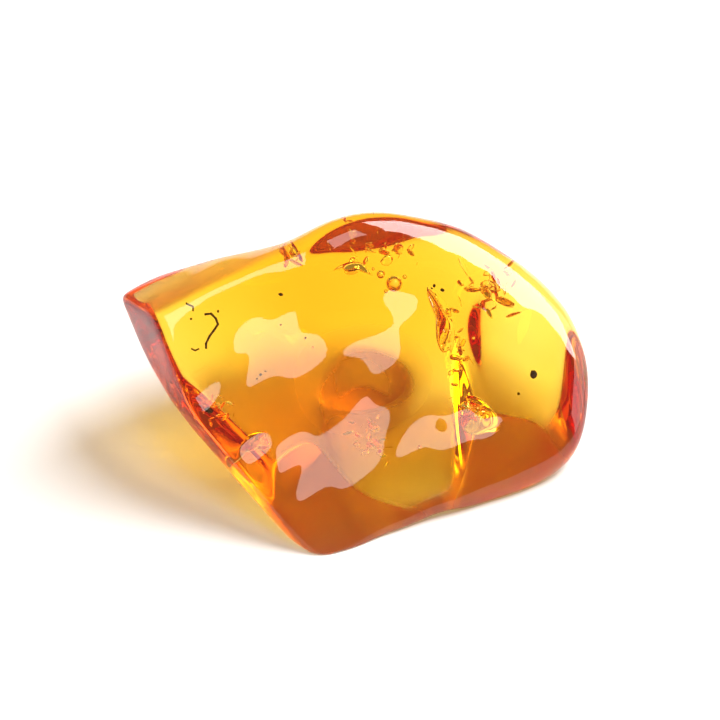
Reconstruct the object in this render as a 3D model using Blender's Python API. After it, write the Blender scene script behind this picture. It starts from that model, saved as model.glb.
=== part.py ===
"""A tumbled lump of clear amber, as one solid.

The lump formed as one piece of resin. Wear has left it with broad faces that meet in rounded edges: crisp
ones at its thin left end and soft ones at its thick right end. Its underside is hollowed, so that it rests
on a flat below its front, on another below its thick end and on a low heel further back.

Axes: +X runs along the length towards the round end, -Y is the side of the broad front face, and +Z is up.
The origin is under the middle of the lump, on the surface that it rests on. The numbers below are in
millimetres, from a point within a millimetre of that; the finished mesh is in metres and centred over it.
"""

import bmesh
import bpy
import numpy as np

MM = 0.001

# The driving points of the outside, before wear has rounded them.
CREST = (-17.3, 0.2, 13.9)  # the top of the sharp left edge, where three faces meet
TIP = (-20.5, 6.2, 11.4)  # the thin left tip, which hangs above the surface
BEND = (-14.2, -6.2, 8.9)  # where the sharp edge turns on its way down to the front corner
FOOT = (-3.6, -15.4, 0.3)  # the front corner, where the sharp edge comes down to the surface
RIM_END = (-6.0, 5.9, 16.0)  # the end of the rim between the front face and the shelf

# Worn flat faces: the outward direction of each, and its distance from the origin.
WORN_FACES = {
    "front_right": ((0.40, -0.46, 0.79), 13.9),
    "left": ((-0.72, -0.60, -0.25), 12.2),
    "low_front": ((0.47, -0.88, -0.05), 13.5),
    "low_right": ((0.81, -0.35, -0.47), 19.2),
    "right": ((0.99, -0.10, -0.12), 20.7),
    "right_upper": ((0.91, 0.33, 0.27), 22.3),
    "shoulder": ((0.56, 0.54, 0.63), 21.1),
    "crown": ((0.10, 0.60, 0.80), 22.9),
    "back": ((0.15, 0.97, -0.20), 14.0),
    "back_left": ((-0.20, 0.80, 0.59), 16.8),
    "tip_back": ((-0.50, 0.84, -0.20), 13.4),
    "low_left": ((-0.60, -0.10, -0.70), 5.6),
    "under_back": ((0.05, 0.72, -0.69), 5.0),
    "under_right": ((0.62, 0.40, -0.68), 11.0),
    "under_left": ((-0.45, 0.35, -0.82), 2.4),
    "base": ((0.0, 0.0, -1.0), 0.9),
}

# Low swells (+) and hollows (-): the middle of each, its reach along X, Y and Z, and its height.
SWELLS = (
    ((-0.6, 10.5, 16.0), (4.9, 4.9, 4.9), 1.7),  # the hump at the top
    ((-5.8, 9.1, 14.8), (3.0, 3.0, 3.0), -0.6),  # the saddle beside the hump
    ((-11.7, 3.7, 15.6), (4.5, 4.5, 4.5), 0.55),  # the rim, bowed outwards
)

# Hollows in the underside: each is the space inside these planes (direction, point on it).
LEDGE = (
    ((-0.05, -0.24, 0.97), (0.0, -7.6, 0.0)),  # its ceiling, which rises from the front flat to the back
    ((1.0, -0.1, 0.5), (9.5, 0.0, 0.0)),  # its right wall, beside the thick end's flat
    ((-1.0, -0.35, 0.6), (-2.2, -5.0, 0.0)),  # its left wall, beside the front flat
)
ARCH = (
    ((0.03, -0.19, 0.98), (-5.0, 0.0, 0.0)),  # its ceiling, which rises from the front flat to the back
    ((1.0, -0.1, 0.5), (9.0, 0.0, 0.0)),  # its right wall
)

# The heel left standing under the arch, which the lump rests on at its back.
HEEL_MIDDLE = (0.0, 4.2, 2.3)
HEEL_RADII = (3.6, 2.9, 3.2)

# The shell-shaped hollow that broke out of the thick end's back and underside.
SCOOP_MIDDLE = (13.0, 17.0, -2.0)
SCOOP_RADII = (7.0, 14.5, 10.0)

# How crisp the edges are: a larger number is a tighter round, and 0.7 / number is what wear took off an edge.
CRISP_AT_ROUND_END = 0.8
CRISP_GAIN_AT_THIN_END = 2.9
CRISP_CHANGES_AT_X = -5.0
CRISP_CHANGES_OVER = 2.5
HOLLOW_CRISP = 1.1
HOLLOW_LIP_CRISP = 2.1
SCOOP_LIP_CRISP = 2.4

# The block that the lump is worn from: its corners, as (right?, back?, up?), lie near the lump's own.
BLOCK = {
    (0, 0, 1): FOOT,
    (0, 1, 1): CREST,
    (0, 1, 0): TIP,
    (0, 0, 0): (-6.5, -8.0, 0.0),
    (1, 0, 1): (17.8, -6.5, 5.0),
    (1, 1, 1): (13.0, 11.0, 13.5),
    (1, 1, 0): (12.0, 13.5, 4.0),
    (1, 0, 0): (13.0, -1.0, 1.0),
}

# Wear works outwards from a slanting sheet through the middle of the lump.
HEART = (0.0, 3.5, 6.6)
SHEET_NORMAL = (0.05, -0.36, 0.93)
SHEET_SPREAD = 0.65  # how far the sheet reaches towards the block's sides, as a share

GRID = 28  # squares along each edge of the block
REACH = 30.0  # longer than any line from the sheet to the outside
HALVINGS = 34  # steps of the search along each line, enough for a millionth of a millimetre
FLAT_WITHIN = 0.002  # points this near the surface below lie on it

# The underside's points are then spread evenly over it, so that its hollows come out smooth.
SPREAD_ROUNDS = 80
SPREAD_SHARE = 0.8  # how far a point moves in one round towards the middle of its neighbours
SPREAD_FULL_BELOW = 2.5  # this far below the sheet a point moves freely, and at the sheet it stays
SLOPE_STEP = 0.001  # the step that the slope of the form is measured over


def unit(vector):
    vector = np.array(vector, dtype=float)
    return vector / np.linalg.norm(vector)


def face_through(a, b, c, towards):
    """The flat face through three points, with its outward side on the side of `towards`."""
    a, b, c = (np.array(point) for point in (a, b, c))
    normal = unit(np.cross(b - a, c - a))
    if normal @ np.array(towards) < 0:
        normal = -normal
    return normal, normal @ a


def outside_faces():
    """Directions and distances of all the faces, the three main ones first."""
    faces = [
        face_through(CREST, FOOT, RIM_END, (0, -1, 1)),  # the broad front face
        face_through(CREST, BEND, TIP, (-1, 0, 0)),  # the narrow left side, below the tip
        face_through(CREST, RIM_END, TIP, (0, 0, 1)),  # the shelf behind the rim
    ]
    faces += [(unit(direction), distance) for direction, distance in WORN_FACES.values()]
    normals = np.array([normal for normal, _ in faces])
    distances = np.array([distance for _, distance in faces])
    return normals, distances


def soft_largest(values, crisp):
    """The largest value in each row, eased where two are close."""
    top = values.max(axis=1)
    return top + np.log(np.exp(crisp[:, None] * (values - top[:, None])).sum(axis=1)) / crisp


def worn_block(points, faces):
    """Below zero inside the block of faces whose edges are worn round."""
    normals, distances = faces
    thin_end = 1 / (1 + np.exp((points[:, 0] - CRISP_CHANGES_AT_X) / CRISP_CHANGES_OVER))
    crisp = CRISP_AT_ROUND_END + CRISP_GAIN_AT_THIN_END * thin_end
    return soft_largest(points @ normals.T - distances, crisp)


def swell_height(points):
    total = np.zeros(len(points))
    for middle, reach, height in SWELLS:
        steps = (points - np.array(middle)) / np.array(reach)
        total += height * np.exp(-(steps**2).sum(axis=1) / 2)
    return total


def hollow_depth(points, planes):
    """Above zero inside the empty space that the planes bound."""
    depths = [(np.array(point) - points) @ unit(direction) for direction, point in planes]
    crisp = np.full(len(points), HOLLOW_CRISP)
    return -soft_largest(-np.stack(depths, axis=1), crisp)


def ball_depth(points, middle, radii):
    """Above zero inside a ball stretched to the given radii."""
    steps = (points - np.array(middle)) / np.array(radii)
    return (1 - np.linalg.norm(steps, axis=1)) * np.mean(radii)


def cut(solid, hollow, crisp):
    """Takes a hollow out of a solid and eases the lip that it leaves."""
    return np.logaddexp(crisp * solid, crisp * hollow) / crisp


def join(solid, lump, crisp):
    """Adds a lump to a solid and eases the corner between them."""
    return -cut(-solid, lump, crisp)


def outside(points, faces):
    """Below zero inside the lump, zero on its skin and above zero outside."""
    solid = worn_block(points, faces) - swell_height(points)
    solid = cut(solid, hollow_depth(points, LEDGE), HOLLOW_LIP_CRISP)
    solid = cut(solid, hollow_depth(points, ARCH), HOLLOW_LIP_CRISP)
    solid = join(solid, ball_depth(points, HEEL_MIDDLE, HEEL_RADII), HOLLOW_LIP_CRISP)
    solid = cut(solid, ball_depth(points, SCOOP_MIDDLE, SCOOP_RADII), SCOOP_LIP_CRISP)
    return np.maximum(solid, -points[:, 2])


def sheet_points(points):
    """The point on the slanting sheet that each point of the block is worn towards."""
    arms = points - np.array(HEART)
    normal = unit(SHEET_NORMAL)
    along_sheet = arms - (arms @ normal)[:, None] * normal
    return np.array(HEART) + SHEET_SPREAD * along_sheet


def wear_down(points, faces):
    """Moves each point along its line from the sheet until it lies on the lump's skin."""
    starts = sheet_points(points)
    lines = points - starts
    lines /= np.linalg.norm(lines, axis=1)[:, None]
    near = np.zeros(len(points))
    far = np.full(len(points), REACH)
    for _ in range(HALVINGS):
        middle = (near + far) / 2
        inside = outside(starts + lines * middle[:, None], faces) < 0
        near = np.where(inside, middle, near)
        far = np.where(inside, far, middle)
    return starts + lines * near[:, None]


def back_to_skin(points, faces):
    """Moves points that are near the skin straight onto it."""
    value = outside(points, faces)
    steps = SLOPE_STEP * np.eye(3)
    slope = np.stack([(outside(points + step, faces) - value) / SLOPE_STEP for step in steps], axis=1)
    return points - value[:, None] * slope / (slope**2).sum(axis=1)[:, None]


def spread_underside(skin, edges, faces):
    """Slides the underside's points over the skin until they are evenly apart."""
    below = (np.array(HEART) - skin) @ unit(SHEET_NORMAL)
    share = SPREAD_SHARE * np.clip(below / SPREAD_FULL_BELOW, 0, 1)[:, None]
    neighbours = np.bincount(edges.ravel())[:, None]
    for _ in range(SPREAD_ROUNDS):
        total = np.zeros_like(skin)
        np.add.at(total, edges[:, 0], skin[edges[:, 1]])
        np.add.at(total, edges[:, 1], skin[edges[:, 0]])
        skin = skin + share * (total / neighbours - skin)
        skin = back_to_skin(back_to_skin(skin, faces), faces)
    skin[np.abs(skin[:, 2]) < FLAT_WITHIN, 2] = 0.0
    return skin


def centred(points):
    """The points, moved sideways until their box's middle is over the origin."""
    middle = (points.min(axis=0) + points.max(axis=0)) / 2
    return points - np.array([middle[0], middle[1], 0.0])


def block_mesh(name):
    """A block on the eight named corners, with a grid of squares on each side."""
    block = bmesh.new()
    bmesh.ops.create_cube(block, size=2.0)
    for corner in block.verts:
        corner.co = BLOCK[tuple(int(value > 0) for value in corner.co)]
    bmesh.ops.subdivide_edges(block, edges=block.edges, cuts=GRID - 1, use_grid_fill=True)
    mesh = bpy.data.meshes.new(name)
    block.to_mesh(mesh)
    block.free()
    return mesh


def amber_material():
    material = bpy.data.materials.new("amber")
    material.use_nodes = True
    shader = material.node_tree.nodes["Principled BSDF"]
    shader.inputs["Base Color"].default_value = (0.94, 0.55, 0.08, 1.0)
    shader.inputs["Metallic"].default_value = 0.0
    shader.inputs["Roughness"].default_value = 0.03
    shader.inputs["IOR"].default_value = 1.54
    shader.inputs["Transmission Weight"].default_value = 1.0
    return material


def amber_piece():
    mesh = block_mesh("amber_piece")
    faces = outside_faces()
    points = np.array([vertex.co for vertex in mesh.vertices])
    edges = np.array([tuple(edge.vertices) for edge in mesh.edges])
    skin = spread_underside(wear_down(points, faces), edges, faces)
    mesh.vertices.foreach_set("co", (centred(skin) * MM).ravel())
    mesh.update()
    mesh.shade_smooth()
    mesh.materials.append(amber_material())
    lump = bpy.data.objects.new("amber_piece", mesh)
    bpy.context.scene.collection.objects.link(lump)
    return lump


def main():
    for leftover in list(bpy.context.scene.objects):
        bpy.data.objects.remove(leftover)
    amber_piece()


main()
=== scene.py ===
# %% [markdown]
# # A tumbled lump of clear amber
#
# Amber is fossil resin: a warm, light stone that is clear enough to read through when it is polished. All of
# its looks come from light that goes in, is bent and comes out somewhere else. This lesson builds one lump as
# a real closed shape, fills it with something that swallows blue and green light, puts the small things
# inside that real amber holds, and lights it with two soft boxes and a card on a pale floor.

import bmesh
import bpy
import numpy as np
from mathutils import Matrix, Vector


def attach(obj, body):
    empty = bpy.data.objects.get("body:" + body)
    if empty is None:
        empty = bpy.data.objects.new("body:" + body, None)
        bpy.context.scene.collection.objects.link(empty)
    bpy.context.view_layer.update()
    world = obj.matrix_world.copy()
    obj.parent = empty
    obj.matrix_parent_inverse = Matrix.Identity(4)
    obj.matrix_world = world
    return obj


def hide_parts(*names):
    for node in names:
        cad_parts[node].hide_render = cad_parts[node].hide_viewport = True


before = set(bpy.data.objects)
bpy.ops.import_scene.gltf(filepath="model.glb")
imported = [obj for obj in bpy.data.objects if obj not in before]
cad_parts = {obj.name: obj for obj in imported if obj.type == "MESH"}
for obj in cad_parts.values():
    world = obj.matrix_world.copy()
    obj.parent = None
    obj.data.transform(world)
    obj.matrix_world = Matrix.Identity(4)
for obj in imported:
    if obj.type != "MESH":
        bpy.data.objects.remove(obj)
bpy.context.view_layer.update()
MM = 0.001
print("nodes:", list(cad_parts))

# %% [markdown]
# ## The form of the lump
#
# The real lump was a broken piece of resin that sea and tumbling drum have worn: broad faces, and edges that
# are crisp at the thin left end and soft at the thick right end. It could be sculpted by hand or cut by
# Booleans. Here each face is a plane, and a point's height above the lump is the largest of its heights above
# the planes, eased where two planes are close: that is what wear does to an edge. A hollow is a shape taken
# out of it in the same way. These are the same faces as in the solid that carries the lump.

# %% The driving points and the worn faces, in millimetres
CREST = (-17.3, 0.2, 13.9)
TIP = (-20.5, 6.2, 11.4)
BEND = (-14.2, -6.2, 8.9)
FOOT = (-3.6, -15.4, 0.3)
RIM_END = (-6.0, 5.9, 16.0)

WORN_FACES = {
    "front_right": ((0.40, -0.46, 0.79), 13.9),
    "left": ((-0.72, -0.60, -0.25), 12.2),
    "low_front": ((0.47, -0.88, -0.05), 13.5),
    "low_right": ((0.81, -0.35, -0.47), 19.2),
    "right": ((0.99, -0.10, -0.12), 20.7),
    "right_upper": ((0.91, 0.33, 0.27), 22.3),
    "shoulder": ((0.56, 0.54, 0.63), 21.1),
    "crown": ((0.10, 0.60, 0.80), 22.9),
    "back": ((0.15, 0.97, -0.20), 14.0),
    "back_left": ((-0.20, 0.80, 0.59), 16.8),
    "tip_back": ((-0.50, 0.84, -0.20), 13.4),
    "low_left": ((-0.60, -0.10, -0.70), 5.6),
    "under_back": ((0.05, 0.72, -0.69), 5.0),
    "under_right": ((0.62, 0.40, -0.68), 11.0),
    "under_left": ((-0.45, 0.35, -0.82), 2.4),
    "base": ((0.0, 0.0, -1.0), 0.9),
}
SWELLS = (
    ((-0.6, 10.5, 16.0), (4.9, 4.9, 4.9), 1.7),
    ((-5.8, 9.1, 14.8), (3.0, 3.0, 3.0), -0.6),
    ((-11.7, 3.7, 15.6), (4.5, 4.5, 4.5), 0.55),
)
LEDGE = (
    ((-0.05, -0.24, 0.97), (0.0, -7.6, 0.0)),
    ((1.0, -0.1, 0.5), (9.5, 0.0, 0.0)),
    ((-1.0, -0.35, 0.6), (-2.2, -5.0, 0.0)),
)
ARCH = (
    ((0.03, -0.19, 0.98), (-5.0, 0.0, 0.0)),
    ((1.0, -0.1, 0.5), (9.0, 0.0, 0.0)),
)
HEEL_MIDDLE = (0.0, 4.2, 2.3)
HEEL_RADII = (3.6, 2.9, 3.2)
SCOOP_MIDDLE = (13.0, 17.0, -2.0)
SCOOP_RADII = (7.0, 14.5, 10.0)
CRISP_AT_ROUND_END = 0.8
CRISP_GAIN_AT_THIN_END = 2.9
CRISP_CHANGES_AT_X = -5.0
CRISP_CHANGES_OVER = 2.5
HOLLOW_CRISP = 1.1
HOLLOW_LIP_CRISP = 2.1
SCOOP_LIP_CRISP = 2.4
print(len(WORN_FACES) + 3, "faces and", len(SWELLS), "swells")


# %% The planes
def unit(vector):
    vector = np.array(vector, dtype=float)
    return vector / np.linalg.norm(vector)


def face_through(a, b, c, towards):
    """The flat face through three points, with its outward side on the side of `towards`."""
    a, b, c = (np.array(point) for point in (a, b, c))
    normal = unit(np.cross(b - a, c - a))
    if normal @ np.array(towards) < 0:
        normal = -normal
    return normal, normal @ a


faces = [
    face_through(CREST, FOOT, RIM_END, (0, -1, 1)),
    face_through(CREST, BEND, TIP, (-1, 0, 0)),
    face_through(CREST, RIM_END, TIP, (0, 0, 1)),
]
faces += [(unit(direction), distance) for direction, distance in WORN_FACES.values()]
NORMALS = np.array([normal for normal, _ in faces])
DISTANCES = np.array([distance for _, distance in faces])
FRONT = NORMALS[0]
print("the broad front face looks along", np.round(FRONT, 2))


# %% Wear, swells and hollows
def soft_largest(values, crisp):
    """The largest value in each row, eased where two are close."""
    top = values.max(axis=1)
    return top + np.log(np.exp(crisp[:, None] * (values - top[:, None])).sum(axis=1)) / crisp


def worn_block(points):
    thin_end = 1 / (1 + np.exp((points[:, 0] - CRISP_CHANGES_AT_X) / CRISP_CHANGES_OVER))
    crisp = CRISP_AT_ROUND_END + CRISP_GAIN_AT_THIN_END * thin_end
    return soft_largest(points @ NORMALS.T - DISTANCES, crisp)


def swell_height(points, swells):
    total = np.zeros(len(points))
    for middle, reach, height in swells:
        steps = (points - np.array(middle)) / np.array(reach)
        total += height * np.exp(-(steps**2).sum(axis=1) / 2)
    return total


def hollow_depth(points, planes):
    depths = [(np.array(point) - points) @ unit(direction) for direction, point in planes]
    return -soft_largest(-np.stack(depths, axis=1), np.full(len(points), HOLLOW_CRISP))


def depth_in_ball(points, middle, radii):
    steps = (points - np.array(middle)) / np.array(radii)
    return (1 - np.linalg.norm(steps, axis=1)) * np.mean(radii)


def cut(solid, hollow, crisp):
    return np.logaddexp(crisp * solid, crisp * hollow) / crisp


# %% [markdown]
# ## Where small things lie
#
# A low swell or a speck is easiest to place by looking at the stone from one side and saying where it shows
# and how deep it lies. So a place is written as a column and a row of that view, and a depth in millimetres.
# The code follows the line of sight to the broad front face and then goes into the stone. Places are rounded
# to a tenth of a millimetre, which is as well as they can be judged.

# %% Places, from where they show in the view
PIXELS_PER_MM = 11.575
ELEVATION = np.radians(40.0)  # how high the view looks down from
FORM_COLUMN = 357.0  # the column that x = 0 of the form stands in
ORIGIN_ROW = 552.0  # the row of the surface at the front of the form, where y is:
FORM_FRONT_Y = -14.8
INWARDS = unit((-0.05, 0.70, -0.71))
PLACE_DECIMALS = 1


def face_place(column, row):
    """The place on the flat front face that shows at a column and a row of the view."""
    x = (column - FORM_COLUMN) / PIXELS_PER_MM
    up = (ORIGIN_ROW - row) / PIXELS_PER_MM + FORM_FRONT_Y * np.sin(ELEVATION)
    sight = ((np.sin(ELEVATION), np.cos(ELEVATION)), FRONT[1:])
    y, z = np.linalg.solve(sight, (up, DISTANCES[0] - FRONT[0] * x))
    return np.array((x, y, z))


def inner_place(column, row, depth, lowered=0.0):
    """The place `depth` behind a place on the front face, set a little lower where the stone is thin."""
    place = np.round(face_place(column, row) + depth * INWARDS, PLACE_DECIMALS)
    return np.round(place - (0.0, 0.0, lowered), PLACE_DECIMALS)


print("the view's middle shows the front face at", np.round(face_place(360, 360), PLACE_DECIMALS))

# %% [markdown]
# ## Low relief
#
# Polish leaves the broad faces nearly flat, but not quite: a soft box mirrored in them shows as patches with
# wavy sharp edges, because the surface leans a few degrees this way and that. This is real relief, so it is
# in the shape, as swells a few tenths of a millimetre high and finer ripples, and not in the shader. Each
# wave is a swell and a hollow side by side, so that the face between them leans the set way.

# %% Low relief of the broad faces
WAVES = (  # column and row, the way it falls in degrees, how far it reaches that way and across, and slope
    (277, 338, 125, 3.0, 2.9, 0.120),
    (304, 374, 120, 2.2, 2.2, 0.060),
    (390, 300, 112, 2.3, 2.1, 0.180),
    (388, 352, 128, 2.2, 2.2, 0.150),
    (372, 398, 128, 1.8, 2.0, 0.060),
    (340, 452, 100, 2.9, 3.5, 0.062),
    (444, 428, 92, 2.0, 4.2, 0.085),
)
WAVES_LOOK = unit((0.148, -0.585, 0.797))  # nearly the way the front face looks; the waves are laid out by it
WAVE_DEPTH = 1.5  # how deep in the stone a wave is felt
HEIGHT_DECIMALS = 2


def wave(column, row, falls, reach, reach_across, slope):
    """A swell and a hollow, each `reach` from the middle; the face falls from the one to the other."""
    level = unit(np.array((1.0, 0.0, 0.0)) - WAVES_LOOK * WAVES_LOOK[0])
    up_the_face = np.cross(WAVES_LOOK, level)
    along, across = (np.cos(turn) * level + np.sin(turn) * up_the_face
                     for turn in (np.radians(falls), np.radians(falls + 90)))
    reaches = np.sqrt((reach * along)**2 + (reach_across * across)**2 + (WAVE_DEPTH * FRONT)**2)
    height = slope * reach / (2 * np.exp(-0.5))
    middle = face_place(column, row)
    return [(np.round(middle + side * reach * along, PLACE_DECIMALS), np.round(reaches, PLACE_DECIMALS),
             np.round(-side * height, HEIGHT_DECIMALS)) for side in (-1, 1)]


LOW_SWELLS = [swell for values in WAVES for swell in wave(*values)]

# Ripples left by the polish: radians per mm along X, Y and Z, and height in mm.
RIPPLES = (
    ((1.1, 0.3, 0.5), 0.013),
    ((-0.5, 1.2, 0.2), 0.012),
    ((0.9, -0.8, 1.1), 0.009),
    ((0.2, 1.5, -1.4), 0.006),
    ((-1.9, 0.6, 1.0), 0.006),
)


def ripple_height(points):
    return sum(height * np.sin(points @ np.array(waves) + number)
               for number, (waves, height) in enumerate(RIPPLES))


def outside(points):
    """Below zero inside the lump, zero on its skin and above zero outside."""
    solid = worn_block(points) - swell_height(points, SWELLS) - swell_height(points, LOW_SWELLS)
    solid = solid - ripple_height(points)
    solid = cut(solid, hollow_depth(points, LEDGE), HOLLOW_LIP_CRISP)
    solid = cut(solid, hollow_depth(points, ARCH), HOLLOW_LIP_CRISP)
    solid = -cut(-solid, depth_in_ball(points, HEEL_MIDDLE, HEEL_RADII), HOLLOW_LIP_CRISP)
    solid = cut(solid, depth_in_ball(points, SCOOP_MIDDLE, SCOOP_RADII), SCOOP_LIP_CRISP)
    return np.maximum(solid, -points[:, 2])


print(len(WAVES), "waves, so", len(LOW_SWELLS), "low swells and hollows")

# %% [markdown]
# ## The mesh
#
# A block whose corners lie near the lump's own corners is cut into small squares with subdivide_edges, and
# each point then slides outwards along its own line until it lies on the skin. The block's edges run along
# the lump's crisp ridges, so those stay sharp. All the faces are small, even squares, as clear glass-like
# material needs: a long thin triangle would show as a streak.

# %% The block, and sliding its points onto the skin
BLOCK = {
    (0, 0, 1): FOOT,
    (0, 1, 1): CREST,
    (0, 1, 0): TIP,
    (0, 0, 0): (-6.5, -8.0, 0.0),
    (1, 0, 1): (17.8, -6.5, 5.0),
    (1, 1, 1): (13.0, 11.0, 13.5),
    (1, 1, 0): (12.0, 13.5, 4.0),
    (1, 0, 0): (13.0, -1.0, 1.0),
}
HEART = np.array((0.0, 3.5, 6.6))
SHEET_NORMAL = unit((0.05, -0.36, 0.93))
SHEET_SPREAD = 0.65
FIRST_GRID = 32
REACH = 30.0
HALVINGS = 32
FLAT_WITHIN = 0.002
SPREAD_ROUNDS = (100, 20, 10)  # after sliding out, and after each doubling
SPREAD_SHARE = 0.8
SPREAD_FULL_BELOW = 2.5
SLOPE_STEP = 0.001
TO_CENTRE = np.array((0.1134, 0.0985, 0.0))  # from the form's own origin to the middle of the solid's box


def block_mesh(name, grid):
    block = bmesh.new()
    bmesh.ops.create_cube(block, size=2.0)
    for corner in block.verts:
        corner.co = BLOCK[tuple(int(value > 0) for value in corner.co)]
    bmesh.ops.subdivide_edges(block, edges=block.edges, cuts=grid - 1, use_grid_fill=True)
    mesh = bpy.data.meshes.new(name)
    block.to_mesh(mesh)
    block.free()
    return mesh


def slide_to_skin(points):
    arms = points - HEART
    starts = HEART + SHEET_SPREAD * (arms - (arms @ SHEET_NORMAL)[:, None] * SHEET_NORMAL)
    lines = points - starts
    lines /= np.linalg.norm(lines, axis=1)[:, None]
    near, far = np.zeros(len(points)), np.full(len(points), REACH)
    for _ in range(HALVINGS):
        middle = (near + far) / 2
        inside = outside(starts + lines * middle[:, None]) < 0
        near, far = np.where(inside, middle, near), np.where(inside, far, middle)
    return starts + lines * near[:, None]


def back_to_skin(points):
    value = outside(points)
    steps = SLOPE_STEP * np.eye(3)
    slope = np.stack([(outside(points + step) - value) / SLOPE_STEP for step in steps], axis=1)
    return points - value[:, None] * slope / (slope**2).sum(axis=1)[:, None]


def spread_underside(skin, edges, rounds):
    """Slides the underside's points over the skin until they are evenly apart."""
    share = SPREAD_SHARE * np.clip((HEART - skin) @ SHEET_NORMAL / SPREAD_FULL_BELOW, 0, 1)[:, None]
    neighbours = np.bincount(edges.ravel())[:, None]
    for _ in range(rounds):
        total = np.zeros_like(skin)
        for one, other in ((0, 1), (1, 0)):
            for axis in range(3):
                total[:, axis] += np.bincount(edges[:, one], skin[edges[:, other], axis], len(skin))
        skin = skin + share * (total / neighbours - skin)
        skin = back_to_skin(back_to_skin(skin))
    return skin


def worn_mesh(name):
    mesh = block_mesh(name, FIRST_GRID)
    skin = slide_to_skin(np.array([vertex.co for vertex in mesh.vertices]))
    for doubling, rounds in enumerate(SPREAD_ROUNDS):
        if doubling > 0:
            mesh.vertices.foreach_set("co", skin.ravel())
            finer = bmesh.new()
            finer.from_mesh(mesh)
            bmesh.ops.subdivide_edges(finer, edges=finer.edges, cuts=1, use_grid_fill=True)
            finer.to_mesh(mesh)
            finer.free()
            skin = back_to_skin(back_to_skin(np.array([vertex.co for vertex in mesh.vertices])))
        edges = np.array([tuple(edge.vertices) for edge in mesh.edges])
        skin = spread_underside(skin, edges, rounds)
    skin[np.abs(skin[:, 2]) < FLAT_WITHIN, 2] = 0.0
    mesh.vertices.foreach_set("co", ((skin + TO_CENTRE) * MM).ravel())
    mesh.update()
    return mesh


lump_mesh = worn_mesh("lump")
lump_mesh.shade_smooth()
lump = bpy.data.objects.new("lump", lump_mesh)
bpy.context.scene.collection.objects.link(lump)
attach(lump, "root")
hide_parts("amber_piece")
print("lump:", 2 * len(lump_mesh.polygons), "triangles")

# %% [markdown]
# ## Clear amber
#
# Amber bends light a little more than window glass does (1.54), and it has no colour on its surface: the
# colour is in its depth. A Volume Absorption inside the closed shape takes away a share of the light for each
# metre travelled: nearly all the blue, much of the green and very little of the red. So the same stone is
# pale yellow where it is thin and deep orange where it is thick. A coloured surface would look like lacquer.

# %% The amber's material
REFRACTION = 1.54
LOST_PER_METRE = (9.0, 68.0, 410.0)  # of red, green and blue light
DENSITY_ABOVE_LOSS = 1.02  # keeps the absorption colour a little above black
RUBBED_BELOW = 0.0009  # metres; the skin near the base is dulled by what it has lain on
RUBBED_ROUGHNESS = 0.3
HEEL_RUBBED_WITHIN = (0.0040, 0.0075)  # metres; fully dull up to the one distance, clear from the other
HEEL_ROUGHNESS = 0.6


def amber_material(name):
    material = bpy.data.materials.new(name)
    material.use_nodes = True
    nodes, links = material.node_tree.nodes, material.node_tree.links
    shader = nodes["Principled BSDF"]
    shader.inputs["Base Color"].default_value = (1.0, 1.0, 1.0, 1.0)
    place = nodes.new("ShaderNodeTexCoord")
    split = nodes.new("ShaderNodeSeparateXYZ")
    links.new(place.outputs["Object"], split.inputs["Vector"])
    low = nodes.new("ShaderNodeMapRange")
    low.inputs["From Max"].default_value = RUBBED_BELOW
    low.inputs["To Min"].default_value = RUBBED_ROUGHNESS
    low.inputs["To Max"].default_value = 0.0
    links.new(split.outputs["Z"], low.inputs["Value"])
    reach = nodes.new("ShaderNodeVectorMath")
    reach.operation = "DISTANCE"
    links.new(place.outputs["Object"], reach.inputs[0])
    reach.inputs[1].default_value = (np.array(HEEL_MIDDLE) + TO_CENTRE) * MM
    heel = nodes.new("ShaderNodeMapRange")
    heel.inputs["From Min"].default_value = HEEL_RUBBED_WITHIN[0]
    heel.inputs["From Max"].default_value = HEEL_RUBBED_WITHIN[1]
    heel.inputs["To Min"].default_value = HEEL_ROUGHNESS
    heel.inputs["To Max"].default_value = 0.0
    links.new(reach.outputs["Value"], heel.inputs["Value"])
    most = nodes.new("ShaderNodeMath")
    most.operation = "MAXIMUM"
    links.new(low.outputs["Result"], most.inputs[0])
    links.new(heel.outputs["Result"], most.inputs[1])
    links.new(most.outputs["Value"], shader.inputs["Roughness"])
    shader.inputs["IOR"].default_value = REFRACTION
    shader.inputs["Transmission Weight"].default_value = 1.0
    depth = nodes.new("ShaderNodeVolumeAbsorption")
    density = DENSITY_ABOVE_LOSS * max(LOST_PER_METRE)
    depth.inputs["Color"].default_value = (*(1 - lost / density for lost in LOST_PER_METRE), 1.0)
    depth.inputs["Density"].default_value = density
    links.new(depth.outputs["Volume"], nodes["Material Output"].inputs["Volume"])
    return material


lump_mesh.materials.append(amber_material("clear_amber"))
print("amber: light lost per metre", LOST_PER_METRE)

# %% [markdown]
# ## What the resin caught
#
# Real amber holds specks of bark and soil, fine plant threads and round air bubbles, from when it was sticky.
# They could be painted on, but then they would not shift as the stone turns. Here each is a small closed
# shape at its own depth. The specks are rough balls, and the threads are chains of thin rods.

# %% Pieces inside the stone
chance = np.random.default_rng(11)


def solid_material(name, colour, roughness):
    material = bpy.data.materials.new(name)
    material.use_nodes = True
    shader = material.node_tree.nodes["Principled BSDF"]
    shader.inputs["Base Color"].default_value = (*colour, 1.0)
    shader.inputs["Roughness"].default_value = roughness
    return material


def inner_piece(name, shape, material, smooth=True):
    """Puts a finished shape, drawn in the lump's own millimetres, into the stone."""
    bmesh.ops.translate(shape, verts=shape.verts, vec=TO_CENTRE)
    bmesh.ops.scale(shape, verts=shape.verts, vec=(MM, MM, MM))
    mesh = bpy.data.meshes.new(name)
    shape.to_mesh(mesh)
    shape.free()
    if smooth:
        mesh.shade_smooth()
    mesh.materials.append(material)
    piece = bpy.data.objects.new(name, mesh)
    bpy.context.scene.collection.objects.link(piece)
    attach(piece, "root")
    return piece


bark = solid_material("dark_bark", (0.035, 0.009, 0.004), 0.6)
print("materials for the inclusions are ready")

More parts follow.
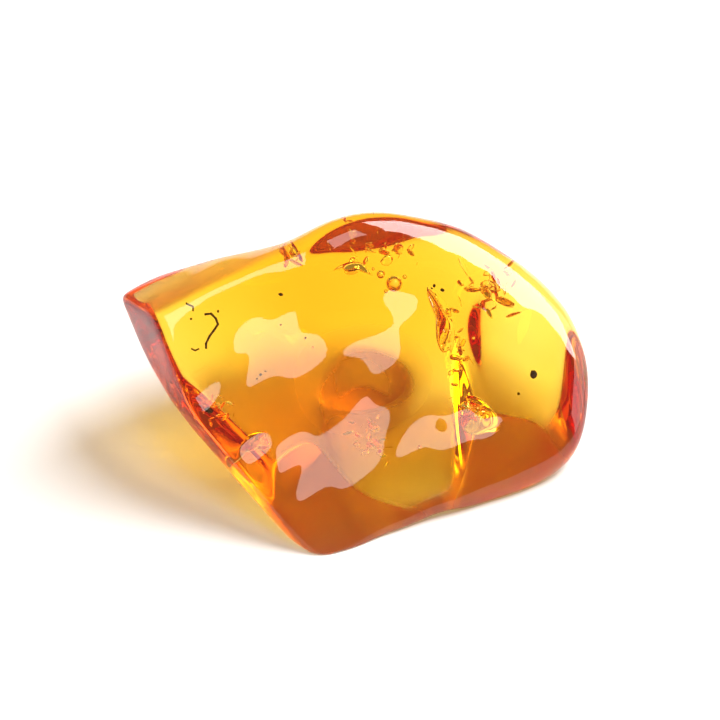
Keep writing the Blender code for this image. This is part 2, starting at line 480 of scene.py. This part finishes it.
# %% Threads
THREADS = {  # radius, depth, and the columns and rows it passes through; a third number lowers a point, in mm
    "plant_thread": (0.11, 1.6, ((206, 314), (212, 314), (217, 319), (219, 324), (216, 330), (211, 336),
                                 (208, 343), (208, 348))),
    "short_thread_low": (0.08, 1.2, ((193, 349), (197, 351), (200, 349))),
    "short_thread_high": (0.08, 1.2, ((189, 304, 0.2), (194, 306, 0.1), (194, 311, 0.1))),
}
THREAD_TAPER = 0.8
THREAD_SIDES = 8


def thread(name, radius, depth, points):
    shape = bmesh.new()
    points = [Vector(inner_place(column, row, depth, *lowered)) for column, row, *lowered in points]
    for start, end in zip(points, points[1:]):
        line = end - start
        turn = line.to_track_quat("Z", "Y").to_matrix().to_4x4()
        place = Matrix.Translation((start + end) / 2) @ turn
        bmesh.ops.create_cone(shape, cap_ends=True, segments=THREAD_SIDES, radius1=radius,
                              radius2=THREAD_TAPER * radius, depth=line.length + radius, matrix=place)
    return inner_piece(name, shape, bark)


for name, values in THREADS.items():
    thread(name, *values)
print(len(THREADS), "threads")

# %% Specks
SPECKS = (  # column, row and radius; a fourth number lowers a speck, in mm
    (219, 311, 0.10), (192, 319, 0.10), (282, 295, 0.20), (433, 286, 0.13), (441, 290, 0.16),
    (383, 219, 0.12, 0.2), (403, 218, 0.12, 0.2), (533, 374, 0.30), (518, 393, 0.12), (281, 325, 0.10),
    (306, 338, 0.10), (262, 375, 0.12), (266, 371, 0.09), (258, 379, 0.08), (211, 410, 0.35),
)
SPECK_DEPTH = 1.5
SPECK_SHAPE = np.array((1.0, 0.7, 1.3))  # how wide, flat and long a speck is, as shares of its radius
SMALL_DETAIL = 2
ROUGHEN = 0.3


def rough_ball(shape, middle, radii, detail, steepness=1.0):
    """A small ball with uneven sides, turned by chance; its last radius faces sideways where it is steep."""
    facing = Vector(chance.normal(size=3) * (1.0, 1.0, 1.0 / steepness))
    turn = facing.to_track_quat("Z", "Y").to_matrix().to_4x4()
    place = Matrix.Translation(Vector(middle)) @ turn @ Matrix.Diagonal((*radii, 1.0))
    made = bmesh.ops.create_icosphere(shape, subdivisions=detail, radius=1.0, matrix=place)["verts"]
    for vert in made:
        vert.co = Vector(middle) + (vert.co - Vector(middle)) * (1 + ROUGHEN * (chance.random() - 0.5))


specks = bmesh.new()
for column, row, radius, *lowered in SPECKS:
    rough_ball(specks, inner_place(column, row, SPECK_DEPTH, *lowered), radius * SPECK_SHAPE, SMALL_DETAIL)
inner_piece("bark_specks", specks, bark, smooth=False)
print(len(SPECKS), "specks")

# %% [markdown]
# ## Bubbles and healed cracks
#
# Air inside amber is where its sparkle comes from. A ray that meets the air at a slant is thrown back whole,
# like light under water. So a bubble is a ball, and a crack is a very thin lens or a bent film, with air
# inside: its index of refraction is one over the amber's, as the light comes to it from the amber. A painted
# white flake would look the same from all sides, but these light up and go out as the stone turns.

# %% Air in the stone
def air_material(name, roughness):
    material = bpy.data.materials.new(name)
    material.use_nodes = True
    shader = material.node_tree.nodes["Principled BSDF"]
    shader.inputs["Base Color"].default_value = (1.0, 1.0, 1.0, 1.0)
    shader.inputs["Roughness"].default_value = roughness
    shader.inputs["IOR"].default_value = 1 / REFRACTION
    shader.inputs["Transmission Weight"].default_value = 1.0
    return material


air = air_material("air", 0.0)
BUBBLES = (  # column, row and radius
    (380, 274, 0.40), (394, 284, 0.75), (372, 268, 0.15), (404, 276, 0.20), (386, 292, 0.18),
)
BUBBLE_DEPTH = 1.5
DEEP_BUBBLES = (  # middle and radius
    ((5.3, -5.7, 4.1), 0.18), ((-3.9, 1.0, 9.5), 0.12), ((9.9, 3.0, 9.0), 0.15),
)
BUBBLE_DETAIL = 4
all_bubbles = [(inner_place(column, row, BUBBLE_DEPTH), radius) for column, row, radius in BUBBLES]
all_bubbles += DEEP_BUBBLES
bubbles = bmesh.new()
for middle, radius in all_bubbles:
    place = Matrix.Translation(middle)
    bmesh.ops.create_icosphere(bubbles, subdivisions=BUBBLE_DETAIL, radius=radius, matrix=place)
inner_piece("air_bubbles", bubbles, air)
print(len(all_bubbles), "bubbles")

# %% Small cracks, in clusters
CRACKS = {  # middle, how far they spread, how many, and their radius
    "cracks_over_the_heel": ((1.1, -4.3, 4.0), (1.4, 1.7, 1.2), 34, 0.42),
    "cracks_at_the_shoulder": ((11.4, 7.4, 11.0), (2.8, 1.8, 1.6), 40, 0.75),
    "cracks_along_the_crease": ((8.3, 2.5, 8.0), (0.7, 2.6, 2.0), 26, 0.5),
    "cracks_by_the_ridge": ((-12.2, -4.4, 7.0), (1.0, 0.9, 0.8), 22, 0.35),
    "cracks_low_left": ((-8.6, -6.4, 4.6), (0.9, 0.8, 0.7), 10, 0.45),
    "cracks_under_the_hump": ((1.5, 9.0, 13.6), (2.6, 1.0, 0.7), 26, 0.5),
    "cracks_at_the_saddle": ((-5.6, 8.0, 13.6), (1.2, 0.6, 0.6), 12, 0.45),
    "cracks_low_right": ((9.6, -1.4, 4.8), (1.3, 1.0, 0.8), 18, 0.45),
}
CRACK_SIZES = (0.4, 1.3)  # as shares of the cluster's radius
CRACK_WIDTHS = (0.4, 0.9)  # as shares of the crack's own size, and so is its thickness
CRACK_THICKNESS = 0.07
CLUSTER_TIGHT = 1.5  # the spread is this many times the usual distance from the middle
CRACKS_STEEP = 2.5
INSIDE_BY = 0.25


def cracks(name, middle, spread, count, radius):
    shape = bmesh.new()
    for _ in range(count):
        at = np.array(middle) + chance.normal(size=3) * np.array(spread) / CLUSTER_TIGHT
        size = radius * chance.uniform(*CRACK_SIZES)
        if outside(at[None])[0] < -size - INSIDE_BY:
            radii = (size, size * chance.uniform(*CRACK_WIDTHS), size * CRACK_THICKNESS)
            rough_ball(shape, at, radii, SMALL_DETAIL, CRACKS_STEEP)
    return inner_piece(name, shape, air)


for name, values in CRACKS.items():
    cracks(name, *values)
print(len(CRACKS), "clusters of small cracks")

# %% Large bent films
FILMS = {  # middle, the way it faces, radius, how far round it bends in degrees, waves at its rim
    "crease_film": ((7.9, 4.8, 9.6), (0.97, 0.10, 0.22), 3.2, 35.0, 4),
    "low_film": ((10.9, -1.8, 4.6), (0.55, -0.25, 0.80), 1.9, 60.0, 3),
    "left_film": ((-9.6, -6.0, 5.2), (-0.65, 0.25, 0.72), 1.5, 50.0, 4),
    "hump_film": ((-0.4, 8.2, 13.2), (0.1, 0.75, 0.66), 1.5, 60.0, 5),
}
FILM_THICKNESS = 0.05
FILM_RINGS = 20
FILM_STEPS = 64
RIM_WAVE = 0.16  # of the radius
FACE_WAVE = 0.03
FACE_WAVES = 6
MERGE_WITHIN = 0.001
DRAW_IN_ROUNDS = 6
LEAST_SLOPE = 0.05  # keeps a step short where the form is nearly level


def bent_film(name, middle, facing, radius, bend, waves):
    """A thin shell of air: a bent line spun round into a cap, then given a thickness."""
    shape = bmesh.new()
    ball = radius / np.sin(np.radians(bend))
    angles = np.radians(bend) * np.arange(1, FILM_RINGS + 1) / FILM_RINGS
    line = [shape.verts.new((ball * np.sin(angle), 0, ball * (np.cos(angle) - 1))) for angle in angles]
    edges = [shape.edges.new(pair) for pair in zip(line, line[1:])]
    bmesh.ops.spin(shape, geom=line + edges, cent=(0, 0, 0), axis=(0, 0, 1), angle=2 * np.pi,
                   steps=FILM_STEPS, use_merge=True)
    bmesh.ops.remove_doubles(shape, verts=shape.verts, dist=MERGE_WITHIN)
    bmesh.ops.holes_fill(shape, edges=shape.edges, sides=0)
    phase = chance.uniform(0, 6)
    for vert in shape.verts:
        round_it = np.arctan2(vert.co.y, vert.co.x)
        far = np.hypot(vert.co.x, vert.co.y) / radius
        vert.co *= 1 + RIM_WAVE * far * np.sin(waves * round_it + phase)
        vert.co.z += FACE_WAVE * radius * np.sin(FACE_WAVES * far + 2 * round_it)
    bmesh.ops.recalc_face_normals(shape, faces=shape.faces)
    bmesh.ops.solidify(shape, geom=shape.faces, thickness=FILM_THICKNESS)
    turn = Vector(facing).to_track_quat("Z", "Y").to_matrix().to_4x4()
    bmesh.ops.transform(shape, matrix=Matrix.Translation(middle) @ turn, verts=shape.verts)
    bmesh.ops.recalc_face_normals(shape, faces=shape.faces)
    keep_inside(shape)
    return inner_piece(name, shape, air)


def keep_inside(shape):
    """Draws points that would come too near the skin straight inwards."""
    points = np.array([vert.co for vert in shape.verts])
    for _ in range(DRAW_IN_ROUNDS):
        value = outside(points) + INSIDE_BY
        steps = SLOPE_STEP * np.eye(3)
        slope = np.stack([(outside(points + step) - outside(points)) / SLOPE_STEP for step in steps], axis=1)
        steepness = np.maximum((slope**2).sum(axis=1), LEAST_SLOPE)[:, None]
        points = points - np.maximum(value, 0)[:, None] * slope / steepness
    for vert, point in zip(shape.verts, points):
        vert.co = point


for name, values in FILMS.items():
    bent_film(name, *values)
print(len(FILMS), "films")

# %% [markdown]
# ## The floor, the light and the camera
#
# The lump lies on a matt white surface under two soft boxes and a card. One box, high on the right and a
# little behind, sends its light through the stone, which throws a warm yellow patch on the floor at its left.
# The other is above the front, and the broad face mirrors it as creamy patches. The card stands low at the
# right and lights the round end. All around is dim, because clear amber mirrors whatever is bright.

# %% The floor
FLOOR_SIDE = 4.0
BELOW_THE_BASE = 0.00006  # a floor exactly in the plane of the flat base would flicker


def floor_material():
    material = bpy.data.materials.new("white_surface")
    material.use_nodes = True
    shader = material.node_tree.nodes["Principled BSDF"]
    shader.inputs["Base Color"].default_value = (0.9, 0.9, 0.9, 1.0)
    shader.inputs["Roughness"].default_value = 0.7
    shader.inputs["Specular IOR Level"].default_value = 0.2
    return material


def white_floor():
    sheet = bmesh.new()
    bmesh.ops.create_grid(sheet, x_segments=1, y_segments=1, size=FLOOR_SIDE / 2)
    bmesh.ops.translate(sheet, verts=sheet.verts, vec=(0, 0, -BELOW_THE_BASE))
    mesh = bpy.data.meshes.new("floor")
    sheet.to_mesh(mesh)
    sheet.free()
    mesh.materials.append(floor_material())
    floor = bpy.data.objects.new("floor", mesh)
    bpy.context.scene.collection.objects.link(floor)
    return floor


white_floor()
print("floor:", FLOOR_SIDE, "m across")

# %% The soft boxes and the room
ROOM_LIGHT = 0.4
ROOM_COLOUR = (1.0, 0.78, 0.58)  # wood and warm walls around the table
LIT_POINT = Vector((0.0, 0.0, 0.008))


def soft_box(name, direction, distance, width, height, radiance):
    lamp = bpy.data.lights.new(name, "AREA")
    lamp.shape = "RECTANGLE"
    lamp.size, lamp.size_y = width, height
    lamp.energy = radiance * width * height * np.pi
    box = bpy.data.objects.new(name, lamp)
    box.location = LIT_POINT + Vector(direction).normalized() * distance
    box.rotation_euler = (LIT_POINT - box.location).to_track_quat("-Z", "Y").to_euler()
    bpy.context.scene.collection.objects.link(box)
    return box


soft_box("key_soft_box", (0.56, 0.32, 0.76), 0.6, 0.40, 0.40, 11.5)
soft_box("front_soft_box", (0.145, -0.22, 0.965), 0.6, 0.215, 0.215, 4.2)
soft_box("right_card", (0.92, 0.24, 0.2), 0.7, 0.6, 0.6, 2.5)
room = bpy.data.worlds.new("room")
room.use_nodes = True
room.node_tree.nodes["Background"].inputs["Color"].default_value = (*ROOM_COLOUR, 1.0)
room.node_tree.nodes["Background"].inputs["Strength"].default_value = ROOM_LIGHT
bpy.context.scene.world = room
print("two soft boxes and a card, room light", ROOM_LIGHT)

# %% The camera
PICTURE_SIDE = 720  # pixels
MIDDLE_COLUMN = 355.7  # the column that the lump's middle stands in
ORIGIN_BEHIND = 14.7015  # mm from the origin forwards to the floor point in ORIGIN_ROW
DISTANCE = 0.7
SENSOR = 36.0
AIM_HEIGHT = 6.0  # mm

across = (PICTURE_SIDE / 2 - MIDDLE_COLUMN) / PIXELS_PER_MM
up = (ORIGIN_ROW - PICTURE_SIDE / 2) / PIXELS_PER_MM
into = (up - AIM_HEIGHT * np.cos(ELEVATION)) / np.sin(ELEVATION) - ORIGIN_BEHIND
aim = Vector((across, into, AIM_HEIGHT)) * MM
camera_data = bpy.data.cameras.new("camera")
camera_data.sensor_width = SENSOR
camera_data.lens = SENSOR * DISTANCE / (PICTURE_SIDE / PIXELS_PER_MM * MM)
camera_data.clip_end = 10.0
camera = bpy.data.objects.new("camera", camera_data)
camera.location = aim + Vector((0.0, -np.cos(ELEVATION), np.sin(ELEVATION))) * DISTANCE
camera.rotation_euler = (aim - camera.location).to_track_quat("-Z", "Y").to_euler()
bpy.context.scene.collection.objects.link(camera)
bpy.context.scene.camera = camera
print("camera: lens", round(camera_data.lens), "mm")

# %% How light is traced
scene = bpy.context.scene
scene.view_settings.view_transform = "Standard"
scene.cycles.max_bounces = 24
scene.cycles.transmission_bounces = 24
scene.cycles.glossy_bounces = 12
scene.cycles.diffuse_bounces = 6
scene.cycles.caustics_refractive = True
scene.cycles.caustics_reflective = True
scene.cycles.sample_clamp_indirect = 20.0
scene.cycles.use_denoising = True
